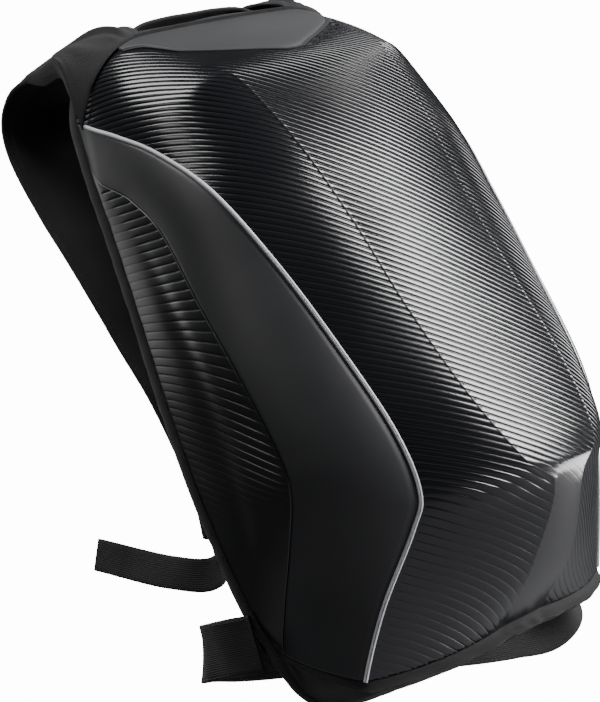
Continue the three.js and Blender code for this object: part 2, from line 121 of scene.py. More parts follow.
def skin(rows, places):
    """The shell's surface. Places run from -5 at the left rim over 0 in the middle to 5 at the right rim."""
    rows = np.asarray(rows, float).ravel()
    places = np.asarray(places, float).ravel()
    far = np.abs(places)[:, None]
    middle, crease, shoulder, piping, side, rim = (
        line_points(table, rows)
        for table in (CENTRE_LINE, PANEL_CREASE, SHOULDER_LINE, PIPING_LINE, SIDE_CREASE, RIM_LINE)
    )
    front = middle + (crease - middle) * far ** 2
    front[:, 0] = crease[:, 0] * far[:, 0]
    first = np.linalg.norm(shoulder - crease, axis=1, keepdims=True)
    second = np.linalg.norm(piping - shoulder, axis=1, keepdims=True)
    knot = first / (first + second)
    w = np.where(far < 2, knot * (far - 1), knot + (1 - knot) * (far - 2))
    flank = (
        crease * (w - knot) * (w - 1) / knot
        + shoulder * w * (w - 1) / (knot * (knot - 1))
        + piping * w * (w - knot) / (1 - knot)
    )
    panel = crowned(piping, side, np.clip(far - PIPING_PLACE, 0, 1), SIDE_CROWN)
    insert = crowned(side, rim, np.clip(far - SIDE_PLACE, 0, 1), INSERT_CROWN)
    points = np.where(far < 1, front, flank)
    points = np.where(far > PIPING_PLACE, panel, points)
    points = np.where(far > SIDE_PLACE, insert, points)
    points[:, 0] *= np.where(places > 0, -1, 1)
    return points


def skin_normals(rows, places):
    """Outward normals of the shell's surface."""
    step = 0.01
    rows = np.asarray(rows, float).ravel()
    places = np.asarray(places, float).ravel()
    low = np.clip(rows - step, 0, TOP_ROW)
    high = np.clip(rows + step, 0, TOP_ROW)
    whole = np.floor(np.abs(places) - 1e-6) * np.sign(places)
    inner = np.sign(places) * np.minimum(np.abs(whole), np.abs(places))
    outer = inner + np.sign(places)
    is_middle = np.abs(places) < 1
    left = np.where(is_middle, places - step, np.maximum(places - step, np.minimum(inner, outer) + 1e-4))
    right = np.where(is_middle, places + step, np.minimum(places + step, np.maximum(inner, outer) - 1e-4))
    up = skin(high, places) - skin(low, places)
    across = skin(rows, right) - skin(rows, left)
    normals = np.cross(across, up)
    return normals / np.maximum(np.linalg.norm(normals, axis=1, keepdims=True), 1e-12)


def raised(rows, places, heights):
    """Points at heights over the shell's surface, never behind the rim's plane."""
    points = skin(rows, places) + skin_normals(rows, places) * np.asarray(heights, float).reshape(-1, 1)
    points[:, 1] = np.minimum(points[:, 1], RIM_Y)
    return points


def add_object(name, data):
    """An object of the scene."""
    added = bpy.data.objects.new(name, data)
    bpy.context.scene.collection.objects.link(added)
    return added


def lay_coordinates(mesh, coordinates):
    """Texture coordinates in metres, one pair for each point."""
    layer = mesh.uv_layers.new(name="cloth")
    loops = np.zeros(len(mesh.loops), int)
    mesh.loops.foreach_get("vertex_index", loops)
    layer.data.foreach_set("uv", np.asarray(coordinates, np.float32)[loops].ravel())


def add_mesh(name, points, faces, coordinates=None, flat_angle=None):
    """A smooth mesh object, with texture coordinates when they're given."""
    mesh = bpy.data.meshes.new(name)
    mesh.from_pydata([tuple(p) for p in points], [], faces)
    if coordinates is not None:
        lay_coordinates(mesh, coordinates)
    mesh.polygons.foreach_set("use_smooth", [True] * len(mesh.polygons))
    piece = add_object(name, mesh)
    if flat_angle:
        mesh.set_sharp_from_angle(angle=math.radians(flat_angle))
    mesh.update()
    return piece


def grid_faces(index):
    """Faces of a grid of point numbers. Where neighbours share a number the face shrinks or goes."""
    faces = []
    corners = np.stack([index[:-1, :-1], index[:-1, 1:], index[1:, 1:], index[1:, :-1]], axis=-1)
    for corner in corners.reshape(-1, 4).tolist():
        face = [a for a, b in zip(corner, corner[1:] + corner[:1]) if a != b]
        if len(face) > 2:
            faces.append(face)
    return faces


def ring_numbers(rows, columns, start=0):
    """Point numbers of a grid whose last column is its first one again."""
    index = np.arange(rows * columns).reshape(rows, columns) + start
    return np.hstack([index, index[:, :1]])


def add_skin_piece(name, rows, places, heights):
    """A piece of the shell from grids of rows and places, with its edges turned in by the wall."""
    rows = np.pad(rows, 1, mode="edge")
    places = np.pad(places, 1, mode="edge")
    heights = np.pad(heights, 1, constant_values=-WALL)
    index = np.zeros(rows.shape, int)
    index[0] = np.arange(rows.shape[1])
    count = rows.shape[1]
    last = rows.shape[0] - 1
    for row in range(1, rows.shape[0]):
        is_same = (rows[row] == rows[row - 1]) & (heights[row] == heights[row - 1]) & (row not in (1, last))
        fresh = ~is_same
        index[row] = index[row - 1]
        index[row][fresh] = count + np.arange(fresh.sum())
        count += fresh.sum()
    _, first = np.unique(index.ravel(), return_index=True)
    picked = [grid.ravel()[first] for grid in (rows, places, heights)]
    return add_mesh(name, raised(*picked), grid_faces(index))


def grid_of(row_values, place_values):
    """Matching grids of rows and places."""
    return np.meshgrid(row_values, place_values, indexing="ij")


def both_sides(half):
    """Places from left to right, from those of one half."""
    return np.concatenate([-half[:0:-1], half])


def mirror_piece(piece, name):
    """A mirrored copy of a piece for the other side."""
    mesh = piece.data.copy()
    mesh.name = name
    mesh.transform(Matrix.Diagonal((-1, 1, 1, 1)))
    mesh.flip_normals()
    return add_object(name, mesh)


# Materials

class Surface:
    """A node material, with shorthands for the nodes that it's made of."""

    def __init__(self, name, colour, roughness, specular=0.5):
        self.material = bpy.data.materials.new(name)
        self.material.use_nodes = True
        self.nodes = self.material.node_tree.nodes
        self.shader = self.nodes["Principled BSDF"]
        self.give("Base Color", (*colour, 1))
        self.give("Roughness", roughness)
        self.give("Specular IOR Level", specular)

    def give(self, name, value, node=None):
        """Sets an input of a node, or else of the shader, to a value or to another node's output."""
        socket = (node or self.shader).inputs[name]
        if isinstance(value, bpy.types.NodeSocket):
            self.material.node_tree.links.new(value, socket)
        else:
            socket.default_value = value

    def coordinates(self, kind):
        """The object's own coordinates, or the cloth's."""
        return self.nodes.new("ShaderNodeTexCoord").outputs[kind]

    def noise(self, scale, detail):
        """A noise over the object's own coordinates."""
        node = self.nodes.new("ShaderNodeTexNoise")
        self.give("Scale", scale, node)
        self.give("Detail", detail, node)
        self.give("Vector", self.coordinates("Object"), node)
        return node.outputs["Fac"]

    def ramp(self, value, low, high, start=0.3, end=0.7):
        """A value turned into a colour between two stops."""
        node = self.nodes.new("ShaderNodeValToRGB")
        for stop, place, colour in zip(node.color_ramp.elements, (start, end), (low, high)):
            stop.position = place
            stop.color = (*colour, 1)
        self.give("Fac", value, node)
        return node.outputs["Color"]

    def math(self, operation, *values):
        """A maths node on sockets or numbers."""
        node = self.nodes.new("ShaderNodeMath")
        node.operation = operation
        for place, value in enumerate(values):
            self.give(place, value, node)
        return node.outputs["Value"]

    def bump(self, height, distance, strength):
        """A bump on the shader of a height in millimetres, over the bumps that it has already."""
        node = self.nodes.new("ShaderNodeBump")
        self.give("Distance", distance * MM, node)
        self.give("Strength", strength, node)
        self.give("Height", height, node)
        for link in self.shader.inputs["Normal"].links:
            self.give("Normal", link.from_socket, node)
        self.give("Normal", node.outputs["Normal"])

    def cloth_axes(self):
        """The two coordinates along a cloth, in metres."""
        node = self.nodes.new("ShaderNodeSeparateXYZ")
        self.give("Vector", self.coordinates("UV"), node)
        return node.outputs["X"], node.outputs["Y"]

    def threads(self, axis, spacing, shift=0.0):
        """A wave over threads that lie `spacing` millimetres apart."""
        return self.math("SINE", self.math("MULTIPLY_ADD", axis, 2 * math.pi / (spacing * MM), shift))

    def sheen(self, weight, roughness=0.5):
        """A soft sheen of fibres."""
        self.give("Sheen Weight", weight)
        self.give("Sheen Roughness", roughness)


def plastic_material(name, colour, lighter, roughness, grain, depth):
    """Moulded plastic: a fine grain, uneven gloss and a little colour variation."""
    surface = Surface(name, colour, roughness)
    cloud = surface.noise(14, 5)
    surface.give("Base Color", surface.ramp(cloud, colour, lighter))
    surface.give("Roughness", surface.math("MULTIPLY_ADD", cloud, 0.16, roughness - 0.08))
    surface.bump(surface.noise(grain, 2), depth, 0.6)
    return surface.material


def woven_material(name, colour, lighter, thread, depth):
    """Cloth woven over the piece's own coordinates, with loose fibres on its threads."""
    surface = Surface(name, colour, 0.8, 0.22)
    weave = surface.math("MULTIPLY", *[surface.threads(axis, thread) for axis in surface.cloth_axes()])
    mixed = surface.math("MULTIPLY_ADD", weave, 0.22, surface.noise(22, 6))
    surface.give("Base Color", surface.ramp(mixed, colour, lighter, 0.25, 0.8))
    surface.bump(weave, depth, 0.8)
    surface.bump(surface.noise(900, 2), depth, 0.35)
    surface.sheen(0.04)
    return surface.material


def webbing_material(name, colour, lighter):
    """Webbing: ribs along the band, crossed by its fine weft."""
    surface = Surface(name, colour, 0.72, 0.22)
    across, along = surface.cloth_axes()
    warp = surface.threads(across, 1.6)
    weft = surface.threads(along, 1.1, warp)
    surface.give("Base Color", surface.ramp(surface.noise(30, 5), colour, lighter))
    surface.bump(surface.math("MULTIPLY_ADD", weft, 0.5, warp), 0.25, 0.5)
    surface.sheen(0.03, 0.45)
    return surface.material


def mesh_material(name, colour, lighter):
    """Spacer mesh: rows of small holes in a soft face, painted darker inside as shade."""
    surface = Surface(name, colour, 0.85, 0.3)
    cells = surface.nodes.new("ShaderNodeTexVoronoi")
    surface.give("Scale", 330, cells)
    surface.give("Randomness", 0.12, cells)
    surface.give("Vector", surface.coordinates("UV"), cells)
    wall = surface.ramp(cells.outputs["Distance"], (0, 0, 0), (1, 1, 1), 0.22, 0.42)
    # The holes take the darker colour and the walls the lighter one: painted shade inside the holes.
    surface.give("Base Color", surface.ramp(wall, colour, lighter, 0.0, 1.0))
    surface.bump(wall, 0.8, 0.9)
    surface.sheen(0.04)
    return surface.material


# Plastics. Columns: name, darker colour, lighter colour, roughness, grain scale, grain depth in millimetres.
PLASTICS = [
    ("shell", (0.0033, 0.0034, 0.0042), (0.0048, 0.0049, 0.006), 0.2, 1500, 0.01),
    ("insert", (0.004, 0.004, 0.0045), (0.006, 0.006, 0.0065), 0.32, 1500, 0.02),
    ("panel", (0.0055, 0.0057, 0.0066), (0.0078, 0.008, 0.0092), 0.5, 2200, 0.03),
    ("patch", (0.0095, 0.0099, 0.0113), (0.0125, 0.013, 0.0147), 0.56, 2200, 0.03),
    ("piping", (0.28, 0.28, 0.3), (0.36, 0.36, 0.38), 0.42, 1200, 0.03),
    ("plastic", (0.006, 0.006, 0.0065), (0.01, 0.01, 0.011), 0.46, 1800, 0.05),
    # The next colour is painted shade: a near-black band laid in the gap below the top patch's edge.
    ("painted_gap_shade", (0.001, 0.001, 0.001), (0.0015, 0.0015, 0.0015), 0.8, 1500, 0.02),
    ("thread", (0.012, 0.012, 0.013), (0.022, 0.022, 0.024), 0.6, 1500, 0.02),
]

# Cloths. Columns: name, darker colour, lighter colour, thread spacing and relief in millimetres.
CLOTHS = [
    ("fabric", (0.003, 0.003, 0.0035), (0.0085, 0.0085, 0.0095), 0.9, 0.18),
    ("binding", (0.006, 0.006, 0.0065), (0.012, 0.012, 0.013), 0.7, 0.12),
]

materials = {row[0]: plastic_material(*row) for row in PLASTICS}
materials.update({row[0]: woven_material(*row) for row in CLOTHS})
materials["webbing"] = webbing_material("webbing", (0.0018, 0.0018, 0.002), (0.0045, 0.0045, 0.005))
materials["mesh"] = mesh_material("mesh", (0.003, 0.003, 0.0035), (0.02, 0.02, 0.022))


def dress(piece, material, slot, *nodes):
    """Gives a piece its material and body, and hides the CAD nodes it stands for. The slot is not used."""
    piece.data.materials.append(materials[material])
    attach(piece, "root")
    if nodes:
        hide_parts(*nodes)
    return piece


def dress_pair(left, material, slot, node):
    """Dresses a piece on the left and its mirror image on the right."""
    right = mirror_piece(left, left.name.replace("_left", "_right"))
    dress(left, material, slot, node + "_left")
    dress(right, material, slot, node + "_right")
    return left, right


# Ribbed shell

RIB_SLANT = 0.73
RIB_PHASE_LOW = -0.42
RIB_PHASE_SPAN = 0.76
RIB_PITCH_LOW = 6.4 * MM
RIB_PITCH_HIGH = 4.6 * MM
RIB_RISE = 0.9 * MM
RIB_BASE = -0.7 * MM
CREASE_RISE = 0.3 * MM

# One rib. Columns: share of the pitch, share of the rise.
RIB_PROFILE = [
    (0.0, 0.0), (0.07, 0.4), (0.13, 0.85), (0.2, 1.0), (0.5, 1.02), (0.8, 1.0), (0.87, 0.85), (0.93, 0.4),
]

PATCH_TOP_ROW = COVER_ROW - 0.07

# Lower edge of the top patch in rows. Columns: place, row.
PATCH_EDGE = [(0, 11.1), (0.12, 11.14), (0.3, 11.36), (1, 12.1), (1.5, 12.55), (2, 12.8), (3, 14.5)]


def patch_edge(places):
    """The row of the top patch's lower edge at these places."""
    table = np.array(PATCH_EDGE)
    return np.interp(np.abs(places), table[:, 0], table[:, 1])


def rib_grid(places, count_at):
    """Rows of a grid whose lines follow the ribs, and the share of the rib's rise on each line."""
    fine = np.linspace(EDGE_ROW, TOP_ROW, 1400)
    counts = []
    for place in places:
        count = count_at(fine, np.full(fine.shape, place))
        counts.append(np.maximum.accumulate(count + np.arange(len(fine)) * 1e-9))
    first = math.floor(min(count[0] for count in counts))
    last = math.ceil(max(count[-1] for count in counts))
    levels = [rib + share for rib in range(first, last) for share, _ in RIB_PROFILE]
    rises = np.tile([rise for _, rise in RIB_PROFILE], last - first)
    rows = np.stack([np.interp(levels, count, fine) for count in counts], axis=1)
    return rows, np.repeat(rises[:, None], len(places), axis=1)


def add_ribbed_skin(name, places, count_at, heights_at):
    """A piece of the shell on a grid that follows its ribs."""
    rows, rises = rib_grid(places, count_at)
    places = np.tile(places, (len(rows), 1))
    heights = heights_at(rows, places, rises)
    heights[(rows <= EDGE_ROW) | (rows >= TOP_ROW)] = 0
    return add_skin_piece(name, rows, places, heights)


def shell_count(rows, places):
    """Rib number over the main shell: straight as its front sees it, and closer together higher up."""
    points = skin(rows, places)
    phase = points[:, 2] + RIB_SLANT * points[:, 0]
    slope = (RIB_PITCH_HIGH - RIB_PITCH_LOW) / RIB_PHASE_SPAN
    return np.log1p(slope * (phase - RIB_PHASE_LOW) / RIB_PITCH_LOW) / slope


def shell_fade(rows, places):
    """How far the ribs rise: none round the patch and along the piping, low on the chin's middle."""
    far = np.abs(places)
    over_patch = smooth_between(patch_edge(places) - rows, 0.12, 0.34)
    at_piping = smooth_between(PIPING_PLACE - far, 0.03, 0.09)
    at_foot = smooth_between(rows, EDGE_ROW, EDGE_ROW + 0.1)
    chin = 1 - 0.96 * smooth_between(1.15 - far, 0, 0.2) * smooth_between(4.9 - rows, 0, 0.3)
    low = 1 - 0.5 * smooth_between(4.8 - rows, 0, 1)
    return over_patch * at_piping * at_foot * chin * low


def shell_heights(rows, places, rises):
    """The ribs, and a fine ridge on the two creases between the chin and the patch."""
    ridge = smooth_between(rows, 4.6, 5.4) * smooth_between(-rows, -11.3, -10.6)
    heights = shell_fade(rows, places) * (RIB_BASE + RIB_RISE * rises)
    return heights + CREASE_RISE * np.isclose(np.abs(places), 1) * ridge


def add_main_shell():
    """The moulded shell from the left piping to the right one."""
    half = np.concatenate([
        np.linspace(0, 0.9, 12),
        [0.955, 0.985, 1.0, 1.015, 1.045],
        np.linspace(1.1, 2.86, 28),
        [2.91, 2.95, 2.975, 2.99],
    ])
    piece = add_ribbed_skin("main_shell_ribs", both_sides(half), shell_count, shell_heights)
    dress(piece, "shell", "ribbed_shell", "main_shell")


INSERT_PITCH = 6.2 * MM


def insert_count(rows, places):
    """Rib number over a side insert: the ribs fall towards the front, more so lower down."""
    points = skin(rows, places)
    lean = 0.14 + 0.56 * smooth_between(-points[:, 2], -0.10, 0.10)
    phase = points[:, 2] + lean * (RIM_Y - points[:, 1])
    return phase / INSERT_PITCH


def insert_heights(rows, places, rises):
    """Ribs that fade low down and towards the rim, over a soft groove along the insert."""
    far = np.abs(places) - SIDE_PLACE
    low_fade = smooth_between(rows, 4.6, 6.2) * smooth_between(12.2 - rows, 0, 0.8)
    faint = 0.1 + 0.3 * smooth_between(8.5 - rows, 0, 2)
    rim_fade = faint + (1 - faint) * smooth_between(0.62 - far, 0, 0.3)
    edge_fade = smooth_between(far, 0.01, 0.06) * smooth_between(1 - far, 0.01, 0.05)
    ribs = low_fade * rim_fade * edge_fade * (RIB_BASE + 0.9 * RIB_RISE * rises)
    groove_middle = 0.42 + 0.2 * smooth_between(-rows, -8, -5)
    along = smooth_between(rows, 3.6, 5) * smooth_between(-rows, -9.5, -7.5)
    groove = np.exp(-((far - groove_middle) / 0.13) ** 2) * along
    return ribs - 1.6 * MM * groove


def add_side_inserts():
    """The ribbed inserts between the side bands and the rim."""
    half = np.concatenate([[4.004, 4.02, 4.05], np.linspace(4.1, 4.9, 22), [4.95, 4.98, 5.0]])
    left = add_ribbed_skin("side_insert_ribs_left", -half[::-1], insert_count, insert_heights)
    dress_pair(left, "insert", "ribbed_shell", "side_insert")


def add_side_panels():
    """The smooth side bands, with a shallow channel along the piping."""
    near = [3.02, 3.03, 3.045, 3.07, 3.1]
    half = np.concatenate([near, np.linspace(3.15, 3.9, 22), [3.95, 3.975, 3.99, 3.997]])
    rows, places = grid_of(np.linspace(EDGE_ROW, TOP_ROW, 240), -half[::-1])
    far = np.abs(places) - PIPING_PLACE
    channel = np.exp(-((far - 0.035) / 0.025) ** 2) * smooth_between(-rows, -12.5, -10)
    rolled = smooth_between(1 - far, 0.0, 0.02)
    heights = -0.9 * MM * channel - 0.8 * MM * (1 - rolled)
    left = add_skin_piece("side_panel_smooth_left", rows, places, heights)
    dress_pair(left, "panel", "side_panel", "side_panel")


# Bands: straps, webbing, binding and piping

def route_points(points, count):
    """Evenly counted points on a smooth curve through a route's points."""
    points = np.asarray(points, float)
    padded = np.vstack([2 * points[0] - points[1], points, 2 * points[-1] - points[-2]])
    at = np.linspace(0, len(points) - 1, count)
    index = np.minimum(at.astype(int), len(points) - 2)
    t = (at - index)[:, None]
    p0, p1, p2, p3 = (padded[index + step] for step in range(4))
    spans = ((p0, p1), (p1, p2), (p2, p3))
    d0, d1, d2 = (np.linalg.norm(b - a, axis=1, keepdims=True) ** 0.5 for a, b in spans)
    leave = ((p1 - p0) / d0 - (p2 - p0) / (d0 + d1) + (p2 - p1) / d1) * d1
    reach = ((p2 - p1) / d1 - (p3 - p1) / (d1 + d2) + (p3 - p2) / d2) * d1
    return (
        p1 + leave * t + (3 * (p2 - p1) - 2 * leave - reach) * t ** 2
        + (2 * (p1 - p2) + leave + reach) * t ** 3
    )


def unit(vectors):
    """The vectors at length one."""
    return vectors / np.maximum(np.linalg.norm(vectors, axis=-1, keepdims=True), 1e-12)


def run_along(points):
    """How far along a line each of its points lies."""
    steps = np.linalg.norm(np.diff(points, axis=0), axis=1)
    return np.concatenate([[0], np.cumsum(steps)])


def band_frames(middles, sides, is_ring=False):
    """Side and face directions along a band."""
    if is_ring:
        ways = unit(np.roll(middles, -1, axis=0) - np.roll(middles, 1, axis=0))
    else:
        ways = unit(np.gradient(middles, axis=0))
    sides = unit(sides - ways * np.sum(sides * ways, axis=1, keepdims=True))
    return sides, unit(np.cross(ways, sides))


def add_band(name, middles, sides, widths, section, is_ring=False, lifts=None):
    """A band along a route. `section` is a closed loop of (share of half the width, height in metres)."""
    sides, faces = band_frames(middles, sides, is_ring)
    section = np.asarray(section, float)
    count = len(section)
    widths = np.broadcast_to(widths, (len(middles),))
    across = section[None, :, 0] * widths[:, None] / 2
    heights = np.repeat(section[None, :, 1], len(middles), axis=0)
    if lifts is not None:
        at = np.linspace(0, 1, len(middles))[:, None]
        heights = heights + lifts(at, section[None, :, 0], section[None, :, 1])
    points = middles[:, None] + sides[:, None] * across[..., None] + faces[:, None] * heights[..., None]
    coordinates = np.stack([across, np.repeat(run_along(middles)[:, None], count, axis=1)], axis=-1)
    index = ring_numbers(len(middles), count)
    if is_ring:
        index = np.vstack([index, index[:1]])
    quads = grid_faces(index)
    if not is_ring:
        quads.append(list(range(count)))
        quads.append(list(range((len(middles) - 1) * count, len(middles) * count))[::-1])
    piece = add_mesh(name, points.reshape(-1, 3), quads, coordinates.reshape(-1, 2), 50)
    fix_outward(piece)
    return piece


def fix_outward(piece):
    """Turns a closed piece's faces out."""
    mesh = piece.data
    mesh.calc_loop_triangles()
    points = np.array([v.co for v in mesh.vertices])
    triangles = np.array([t.vertices for t in mesh.loop_triangles])
    a, b, c = (points[triangles[:, corner]] for corner in range(3))
    if np.sum(a * np.cross(b, c)) < 0:
        mesh.flip_normals()


def closed_section(top, corner):
    """A section's loop: its upper face, the same face below, and sides between the corners' heights."""
    low = [(share, -height) for share, height in top[::-1]]
    return top + [(1, corner), (1, -corner)] + low + [(-1, -corner), (-1, corner)]


def pad_crown(shares):
    """How high a padded strap's crown rises at shares of half its width."""
    return np.clip(1 - (shares / 0.885) ** 2, 0, 1) ** 0.38


def flat_section(thickness, points=9, edge=0.06):
    """A flat band's section with rounded edges."""
    shares = np.linspace(-1 + edge, 1 - edge, points)
    return closed_section([(share, thickness / 2) for share in shares], 0.25 * thickness)


def padded_section(thickness, edge_thickness):
    """A padded strap's section: crowned pads between two flat bound edges."""
    shares = np.concatenate([[-0.98, -0.93, -0.89], np.linspace(-0.86, 0.86, 17), [0.89, 0.93, 0.98]])
    heights = edge_thickness / 2 + (thickness - edge_thickness) / 2 * pad_crown(shares)
    return closed_section(list(zip(shares, heights)), edge_thickness * 0.3)


# Stitches. Columns: pitch, length and thread radius in millimetres.
RIM_STITCH = (3.4, 2.4, 0.22)
YOKE_STITCH = (3.2, 2.3, 0.22)
STRAP_STITCH = (3.6, 2.5, 0.25)
BELT_STITCH = (4.2, 2.8, 0.25)
HANDLE_STITCH = (3.4, 2.4, 0.25)


def stitch_row(points, normals, size):
    """Points and faces of a row of stitches along a line."""
    pitch, length, radius = np.array(size) * MM
    run = run_along(points)
    places = np.arange(pitch / 2, run[-1], pitch)
    verts = []
    faces = []
    ring = [(math.cos(a), math.sin(a)) for a in np.linspace(0, 2 * math.pi, 6, endpoint=False)]
    for place in places:
        middle = np.array([np.interp(place, run, points[:, axis]) for axis in range(3)])
        ahead = np.array([np.interp(place + length / 2, run, points[:, axis]) for axis in range(3)])
        normal = np.array([np.interp(place, run, normals[:, axis]) for axis in range(3)])
        way = unit(ahead - middle)
        side = unit(np.cross(way, normal))
        start = len(verts)
        for share, size in ((-1, 0.35), (-0.6, 1), (0.6, 1), (1, 0.35)):
            for c, s in ring:
                lift = normal * (s * radius * size - abs(share) ** 3 * radius)
                verts.append(middle + way * share * length / 2 + side * c * radius * size + lift)
        for band in range(3):
            for corner in range(6):
                a = start + band * 6 + corner
                b = start + band * 6 + (corner + 1) % 6
                faces.append([a, b, b + 6, a + 6])
        faces.append([start + corner for corner in range(5, -1, -1)])
        faces.append([start + 18 + corner for corner in range(6)])
    return verts, faces


def add_stitches(name, lines, size, slot="fabric"):
    """One piece holding rows of stitches. `lines` holds (points, normals)."""
    verts = []
    faces = []
    for points, normals in lines:
        more, more_faces = stitch_row(points, normals, size)
        faces += [[corner + len(verts) for corner in face] for face in more_faces]
        verts += more
    return dress(add_mesh(name, verts, faces), "thread", slot)


def add_stitch_pair(name, lines, size):
    """Stitches on the left and their mirror image on the right."""
    flip = np.array((-1, 1, 1))
    add_stitches(name + "_left", lines, size)
    add_stitches(name + "_right", [(points * flip, normals * flip) for points, normals in lines], size)


def edge_lines(middles, sides, reaches, lift, trim):
    """Lines for stitches along both edges of a band on both of its faces, and their normals."""
    sides, faces = band_frames(middles, sides)
    reaches = np.broadcast_to(reaches, (len(middles),))[:, None]
    kept = slice(trim, -trim)
    lines = []
    for edge in (-1, 1):
        for face in (-1, 1):
            line = middles + sides * edge * reaches + faces * face * lift
            lines.append((line[kept], faces[kept] * face))
    return lines


PIPING_WIDTH = 3.1 * MM
PIPING_RISE = 1.3 * MM
PIPING_END_ROW = TOP_ROW - 1.25


def add_piping():
    """A welt with a bright crown, split by a narrow groove along its lower half."""
    rows = np.linspace(EDGE_ROW, PIPING_END_ROW, 260)
    places = np.full(rows.shape, -float(PIPING_PLACE))
    middles = skin(rows, places)
    inner = skin_normals(rows, places + 0.02)
    outer = skin_normals(rows, places - 0.02)
    normals = unit(inner + outer)
    ways = unit(np.gradient(middles, axis=0))
    sides = np.cross(normals, ways)
    shares = np.linspace(-1, 1, 15)
    top = [(share, PIPING_RISE * (1 - abs(share) ** 2.6) + 0.1 * MM) for share in shares]
    section = top + [(1, -WALL * 0.8), (-1, -WALL * 0.8)]

    def groove(at, share, height):
        depth = 0.75 * MM * smooth_between(0.62 - at, 0, 0.12)
        return -depth * np.exp(-((share - 0.12) / 0.16) ** 2) * (height > 0)

    left = add_band("piping_welt_left", middles, sides, PIPING_WIDTH, section, lifts=groove)
    dress_pair(left, "piping", "piping", "piping")


def add_top_patch():
    """A smooth plate with rolled edges that lies over the shell under the fabric band."""
    half = np.concatenate([np.linspace(0, 1.9, 34), [1.95, 1.98, 2.0]])
    places = both_sides(half)
    shares = np.concatenate([[0, 0.02, 0.05, 0.1], np.linspace(0.18, 1, 14)])
    low = patch_edge(places)
    rows = low[None, :] + (PATCH_TOP_ROW - low)[None, :] * shares[:, None]
    grid_places = np.tile(places, (len(shares), 1))
    edge = np.minimum(shares[:, None] / 0.1, (2.0 - np.abs(places))[None, :] / 0.06)
    roll = np.sqrt(np.clip(1 - (1 - np.clip(edge, 0, 1)) ** 2, 0, 1))
    heights = 0.5 * MM + 1.1 * MM * roll
    piece = add_skin_piece("top_patch_plate", rows, grid_places, heights)
    dress(piece, "patch", "top_patch", "top_patch")
    # A near-black band along the plate's lower edge: painted shade in the gap between the plate and the
    # shell.
    along = np.linspace(-2, 2, 160)
    middles = raised(patch_edge(along) - 0.035, along, np.full(along.shape, 0.5 * MM))
    normals = skin_normals(patch_edge(along) - 0.035, along)
    sides = np.cross(normals, unit(np.gradient(middles, axis=0)))
    painted_gap_shade = add_band("top_patch_painted_gap_shade", middles, sides, 2.2 * MM, flat_section(0.9 * MM))
    dress(painted_gap_shade, "painted_gap_shade", "top_patch")


# Rim and back

BINDING_WIDTH = 9 * MM
BINDING_PROUD = 1.6 * MM


def rim_loop():
    """The rim's outline as a loop, and its outward directions."""
    bottom = skin(np.zeros(90), np.linspace(-RIM_PLACE, RIM_PLACE, 90))
    right = skin(np.linspace(0, TOP_ROW, 120), np.full(120, RIM_PLACE))
    top = skin(np.full(90, TOP_ROW), np.linspace(RIM_PLACE, -RIM_PLACE, 90))
    left = skin(np.linspace(TOP_ROW, 0, 120), np.full(120, -RIM_PLACE))
    points = np.vstack([bottom[:-1], right[:-1], top[:-1], left[:-1]])
    closed = np.vstack([points, points[:1]])
    run = run_along(closed)
    even = np.linspace(0, run[-1], 420, endpoint=False)
    loop = np.stack([np.interp(even, run, closed[:, axis]) for axis in range(3)], axis=1)
    for _ in range(3):
        loop = (np.roll(loop, 1, axis=0) + 2 * loop + np.roll(loop, -1, axis=0)) / 4
    ways = unit(np.roll(loop, -1, axis=0) - np.roll(loop, 1, axis=0))
    outward = np.stack([ways[:, 2], np.zeros(len(ways)), -ways[:, 0]], axis=1)
    return loop, outward


def add_rim_binding():
    """A folded binding round the rim with a rolled front edge and a row of stitches."""
    loop, outward = rim_loop()
    wave = 0.15 * MM * np.sin(np.arange(len(loop)) * 0.9)[:, None]
    middles = loop + outward * (BINDING_PROUD - 1.6 * MM + wave) + (0, BINDING_WIDTH / 2 - 0.3 * MM, 0)
    sides = np.tile((0.0, 1.0, 0.0), (len(loop), 1))
    shares = np.linspace(-1, 1, 13)
    top = [(share, 1.5 * MM * (1 - abs(share) ** 6) + 0.25 * MM * math.cos(share * 3)) for share in shares]
    section = top + [(1, -1.5 * MM), (-1, -1.5 * MM)]
    if np.dot(np.cross(unit(loop[1] - loop[0]), sides[0]), outward[0]) < 0:
        sides = -sides
        section = [(-share, height) for share, height in section]
    piece = add_band("rim_binding_tape", middles, sides, BINDING_WIDTH, section, True)
    dress(piece, "binding", "fabric", "rim_binding")
    line = loop + outward * 1.35 * MM + (0, BINDING_WIDTH - 2.2 * MM, 0)
    add_stitches("rim_stitches", [(line, outward)], RIM_STITCH)


def add_fabric_bottom():
    """The fabric under the shell, drawn in behind the shell's lower edge, with a few soft puckers."""
    rows, places = grid_of(np.linspace(0, EDGE_ROW - 0.02, 26), np.linspace(-RIM_PLACE, RIM_PLACE, 150))
    pucker = np.sin(places * 9.0) * np.sin(rows * 2.6 + places) * 0.7 * MM
    heights = -0.4 * MM + pucker * smooth_between(rows, 0, 0.4) * smooth_between(EDGE_ROW - rows, 0, 0.5)
    piece = add_skin_piece("fabric_bottom_cloth", rows, places, heights)
    lay_coordinates(piece.data, [(point.co.x, point.co.y + point.co.z) for point in piece.data.vertices])
    dress(piece, "fabric", "fabric", "fabric_bottom")


PANEL_INSET = 2.4 * MM


